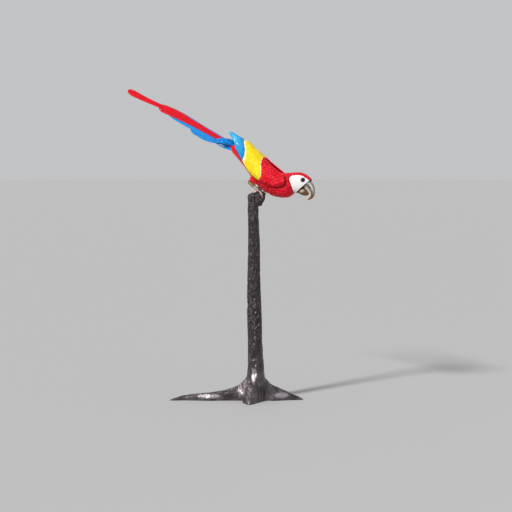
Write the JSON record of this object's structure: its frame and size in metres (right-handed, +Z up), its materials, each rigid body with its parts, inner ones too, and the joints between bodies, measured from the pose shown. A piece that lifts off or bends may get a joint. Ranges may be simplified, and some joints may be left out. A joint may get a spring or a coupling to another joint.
{
  "type": "parrot statue",
  "caption": "Still, life-size statue of a long-tailed parrot, cast metal with bright enamel, leaning down from the top of a bark-textured post with spreading roots.",
  "frame": {"origin": "on the floor, under the middle of the post", "axes": "+Z up; the bird looks along +X; its right side faces -Y"},
  "size_m": [0.8363, 0.3056, 1.3008],
  "materials": {
    "enamel_red": "glossy red enamel over cast feather texture",
    "enamel_yellow": "glossy yellow enamel with pale edges",
    "enamel_sky_blue": "glossy light blue enamel with paler feather lines",
    "enamel_blue": "glossy blue enamel with paler feather edges",
    "enamel_eye": "high-gloss near-black enamel",
    "bill_steel": "silvery grey rubbed metal, brown towards the tip",
    "bill_brass": "golden bronze with pale rubbed highlight",
    "leg_bronze": "bare bronze, rubbed bright on the toes",
    "bark_bronze": "dark brown-black patina, satin, lighter where rubbed"
  },
  "bodies": {
    "root": {"post": "bark_bronze", "post_fork": "bark_bronze", "root_long": "bark_bronze", "root_right": "bark_bronze", "root_front": "bark_bronze", "root_back_left": "bark_bronze", "root_back_right": "bark_bronze", "torso": "enamel_red", "neck": "enamel_red", "head": "enamel_red", "bill_upper": "bill_steel", "bill_lower": "bill_brass", "tail_coverts_upper": "enamel_blue", "tail_coverts_under": "enamel_blue", "tail_feather_middle": "enamel_red", "tail_feather_second_right": "enamel_red", "tail_feather_second_left": "enamel_red", "tail_feather_third_right": "enamel_blue", "tail_feather_third_left": "enamel_blue", "tail_feather_fourth_right": "enamel_blue", "tail_feather_fourth_left": "enamel_blue", "tail_feather_outer_right": "enamel_blue", "tail_feather_outer_left": "enamel_blue", "eye_right": "enamel_eye", "wing_right_flight": "enamel_sky_blue", "wing_right_greater_coverts": "enamel_yellow", "wing_right_lesser_coverts": "enamel_red", "thigh_right": "enamel_red", "shank_right": "leg_bronze", "toe_right_front_outer": "leg_bronze", "claw_right_front_outer": "leg_bronze", "toe_right_front_inner": "leg_bronze", "claw_right_front_inner": "leg_bronze", "toe_right_back_outer": "leg_bronze", "claw_right_back_outer": "leg_bronze", "toe_right_back_inner": "leg_bronze", "claw_right_back_inner": "leg_bronze", "eye_left": "enamel_eye", "wing_left_flight": "enamel_sky_blue", "wing_left_greater_coverts": "enamel_yellow", "wing_left_lesser_coverts": "enamel_red", "thigh_left": "enamel_red", "shank_left": "leg_bronze", "toe_left_front_outer": "leg_bronze", "claw_left_front_outer": "leg_bronze", "toe_left_front_inner": "leg_bronze", "claw_left_front_inner": "leg_bronze", "toe_left_back_outer": "leg_bronze", "claw_left_back_outer": "leg_bronze", "toe_left_back_inner": "leg_bronze", "claw_left_back_inner": "leg_bronze"}
  },
  "joints": []
}
